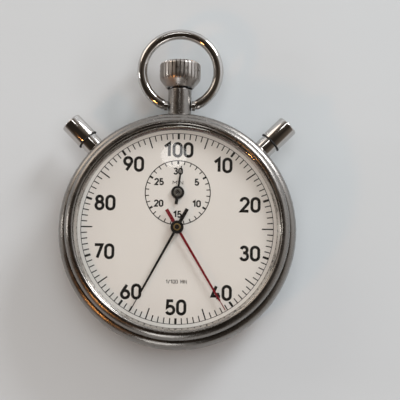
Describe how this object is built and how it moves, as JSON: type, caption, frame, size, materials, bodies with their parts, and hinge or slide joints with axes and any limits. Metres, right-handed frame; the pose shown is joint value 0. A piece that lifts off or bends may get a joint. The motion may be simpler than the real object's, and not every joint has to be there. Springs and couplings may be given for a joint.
{
  "type": "mechanical stopwatch",
  "caption": "Pocket split-seconds stopwatch with a round metal case, domed crystal, fluted crown in a ring bow, two side pushers and a working wheel train.",
  "frame": {"origin": "on the flat case back, on the axis of the centre hands", "axes": "+Z out through the dial and crystal, +Y towards 12 o'clock and the crown, +X towards 3 o'clock"},
  "size_m": [0.055, 0.0758, 0.018],
  "materials": {
    "black_lacquer": "satin",
    "blued_steel": "gloss",
    "chrome": "polished",
    "crystal_glass": "gloss",
    "dial_enamel": "satin",
    "gilt_brass": "satin",
    "movement_steel": "satin",
    "nickel_plate": "satin",
    "red_lacquer": "satin",
    "ruby": "gloss",
    "seal_rubber": "matte",
    "turned_steel": "satin"
  },
  "bodies": {
    "case": {"case_band": "turned_steel", "back_cover": "turned_steel", "bezel": "chrome", "crystal": "crystal_glass", "rehaut_ring": "chrome", "movement_ring": "gilt_brass", "pendant": "chrome", "crown_spring": "movement_steel", "left_pusher_sleeve": "chrome", "right_pusher_sleeve": "chrome", "left_pusher_spring": "movement_steel", "right_pusher_spring": "movement_steel", "dial": "dial_enamel", "mainplate": "nickel_plate", "train_bridge": "nickel_plate", "barrel_bridge": "nickel_plate", "balance_cock": "nickel_plate", "pallet_cock": "nickel_plate", "train_bridge_screw": "blued_steel", "barrel_bridge_screw": "blued_steel", "balance_cock_screw": "blued_steel", "crown_wheel_screw": "movement_steel"},
    "bow_ring": {"bow": "chrome"},
    "crown_slide": {"push_sleeve": "movement_steel"},
    "crown_group": {"crown": "chrome", "winding_stem": "movement_steel"},
    "winding_pinion_body": {"winding_pinion": "movement_steel"},
    "crown_wheel_body": {"crown_wheel": "movement_steel"},
    "ratchet_body": {"ratchet_wheel": "movement_steel", "barrel_arbor": "movement_steel"},
    "click_body": {"click": "movement_steel"},
    "start_stop_body": {"start_stop_lever": "movement_steel"},
    "brake_body": {"brake_lever": "movement_steel"},
    "left_pusher": {"left_pusher_cap": "chrome", "left_pusher_seal": "seal_rubber"},
    "right_pusher": {"right_pusher_cap": "chrome", "right_pusher_seal": "seal_rubber"},
    "split_lever_body": {"split_lever": "movement_steel"},
    "split_clamp_body": {"split_clamp": "movement_steel"},
    "reset_hammer_body": {"reset_hammer": "movement_steel"},
    "fourth_body": {"fourth_wheel": "gilt_brass"},
    "third_body": {"third_wheel": "gilt_brass"},
    "second_body": {"second_wheel": "gilt_brass"},
    "barrel_body": {"barrel": "gilt_brass", "barrel_lid": "gilt_brass", "mainspring": "blued_steel"},
    "escape_body": {"escape_wheel": "movement_steel"},
    "intermediate_body": {"intermediate_wheel": "gilt_brass"},
    "minute_wheel_body": {"minute_wheel": "gilt_brass"},
    "minute_hand_body": {"minute_arbor": "movement_steel", "minute_hand": "black_lacquer"},
    "sweep_body": {"sweep_arbor": "gilt_brass", "sweep_hand": "black_lacquer"},
    "split_body": {"split_wheel": "movement_steel", "split_hand": "red_lacquer"},
    "pallet_body": {"pallet_fork": "movement_steel", "entry_pallet": "ruby", "exit_pallet": "ruby"},
    "balance_body": {"balance_wheel": "gilt_brass", "hairspring": "blued_steel"}
  },
  "joints": [
    {"name": "bow_swing", "type": "hinge", "parent": "case", "child": "bow_ring", "pos_m": [0, 0.02982, 0.0074], "axis": [1, 0, 0], "range_deg": [-100, 100]},
    {"name": "crown_push", "type": "slide", "parent": "case", "child": "crown_slide", "axis": [0, -1, 0], "range_m": [0, 0.0012], "stiffness_N_per_m": 200},
    {"name": "crown_turn", "type": "hinge", "parent": "crown_slide", "child": "crown_group", "pos_m": [0, 0.03, 0.0074], "axis": [0, 1, 0], "continuous": true},
    {"name": "winding_pinion_turn", "type": "hinge", "parent": "case", "child": "winding_pinion_body", "pos_m": [0, 0.0186, 0.0074], "axis": [0, 1, 0], "continuous": true},
    {"name": "crown_wheel_turn", "type": "hinge", "parent": "case", "child": "crown_wheel_body", "pos_m": [0, 0.0134, 0], "axis": [0, 0, 1], "continuous": true},
    {"name": "ratchet_turn", "type": "hinge", "parent": "case", "child": "ratchet_body", "pos_m": [-0.0096, 0.00763, 0], "axis": [0, 0, 1], "continuous": true},
    {"name": "click_swing", "type": "hinge", "parent": "case", "child": "click_body", "pos_m": [-0.01879, 0.00959, 0], "axis": [0, 0, 1], "range_deg": [-6, 0]},
    {"name": "start_stop_swing", "type": "hinge", "parent": "case", "child": "start_stop_body", "pos_m": [0.0085, 0.013, 0], "axis": [0, 0, 1], "range_deg": [0, 8.6]},
    {"name": "brake_swing", "type": "hinge", "parent": "case", "child": "brake_body", "pos_m": [0.018, 0.002, 0], "axis": [0, 0, 1], "range_deg": [-7, 0]},
    {"name": "left_push", "type": "slide", "parent": "case", "child": "left_pusher", "axis": [0.7071, -0.7071, 0], "range_m": [0, 0.0012], "stiffness_N_per_m": 150},
    {"name": "right_push", "type": "slide", "parent": "case", "child": "right_pusher", "axis": [-0.7071, -0.7071, 0], "range_m": [0, 0.0012], "stiffness_N_per_m": 150},
    {"name": "split_lever_swing", "type": "hinge", "parent": "case", "child": "split_lever_body", "pos_m": [-0.008, 0.017, 0], "axis": [0, 0, 1], "range_deg": [0, 11]},
    {"name": "split_clamp_swing", "type": "hinge", "parent": "case", "child": "split_clamp_body", "pos_m": [0.008, 0.017, 0], "axis": [0, 0, 1], "range_deg": [-11, 0]},
    {"name": "reset_hammer_swing", "type": "hinge", "parent": "case", "child": "reset_hammer_body", "pos_m": [0.008, 0.017, 0], "axis": [0, 0, 1], "range_deg": [-11, 0]},
    {"name": "fourth_turn", "type": "hinge", "parent": "case", "child": "fourth_body", "pos_m": [0, 0, 0], "axis": [0, 0, 1], "continuous": true},
    {"name": "third_turn", "type": "hinge", "parent": "case", "child": "third_body", "pos_m": [-0.00387, -0.0043, 0], "axis": [0, 0, 1], "continuous": true},
    {"name": "second_turn", "type": "hinge", "parent": "case", "child": "second_body", "pos_m": [-0.00909, -0.0011, 0], "axis": [0, 0, 1], "continuous": true},
    {"name": "barrel_turn", "type": "hinge", "parent": "case", "child": "barrel_body", "pos_m": [-0.0096, 0.00763, 0], "axis": [0, 0, 1], "continuous": true},
    {"name": "escape_turn", "type": "hinge", "parent": "case", "child": "escape_body", "pos_m": [0.00404, -0.00339, 0], "axis": [0, 0, 1], "continuous": true},
    {"name": "intermediate_turn", "type": "hinge", "parent": "case", "child": "intermediate_body", "pos_m": [0.0036, 0.00387, 0], "axis": [0, 0, 1], "continuous": true},
    {"name": "minute_wheel_turn", "type": "hinge", "parent": "case", "child": "minute_wheel_body", "pos_m": [0, 0.00816, 0], "axis": [0, 0, 1], "continuous": true},
    {"name": "minute_hand_turn", "type": "hinge", "parent": "minute_wheel_body", "child": "minute_hand_body", "pos_m": [0, 0.00816, 0], "axis": [0, 0, 1], "continuous": true},
    {"name": "sweep_hand_turn", "type": "hinge", "parent": "fourth_body", "child": "sweep_body", "pos_m": [0, 0, 0], "axis": [0, 0, 1], "continuous": true},
    {"name": "split_hand_turn", "type": "hinge", "parent": "sweep_body", "child": "split_body", "pos_m": [0, 0, 0], "axis": [0, 0, 1], "continuous": true},
    {"name": "pallet_swing", "type": "hinge", "parent": "case", "child": "pallet_body", "pos_m": [0.00578, -0.00666, 0], "axis": [0, 0, 1], "range_deg": [-5, 5]},
    {"name": "balance_swing", "type": "hinge", "parent": "case", "child": "balance_body", "pos_m": [0.00853, -0.01059, 0], "axis": [0, 0, 1], "range_deg": [-150, 150]}
  ],
  "couplings": [
    {"joint": "winding_pinion_turn", "follows": "crown_turn", "ratio": 1},
    {"joint": "crown_wheel_turn", "follows": "crown_turn", "ratio": 0.5},
    {"joint": "ratchet_turn", "follows": "crown_turn", "ratio": -0.38889},
    {"joint": "start_stop_swing", "follows": "crown_push", "rad_per_m": 125},
    {"joint": "brake_swing", "follows": "crown_push", "rad_per_m": -100},
    {"joint": "split_lever_swing", "follows": "left_push", "rad_per_m": 150},
    {"joint": "split_clamp_swing", "follows": "left_push", "rad_per_m": -150},
    {"joint": "reset_hammer_swing", "follows": "right_push", "rad_per_m": -150},
    {"joint": "third_turn", "follows": "fourth_turn", "ratio": -0.13333},
    {"joint": "second_turn", "follows": "fourth_turn", "ratio": 0.016667},
    {"joint": "barrel_turn", "follows": "fourth_turn", "ratio": -0.0027778},
    {"joint": "escape_turn", "follows": "fourth_turn", "ratio": -10},
    {"joint": "intermediate_turn", "follows": "fourth_turn", "ratio": -0.2},
    {"joint": "minute_wheel_turn", "follows": "fourth_turn", "ratio": 0.033333}
  ]
}
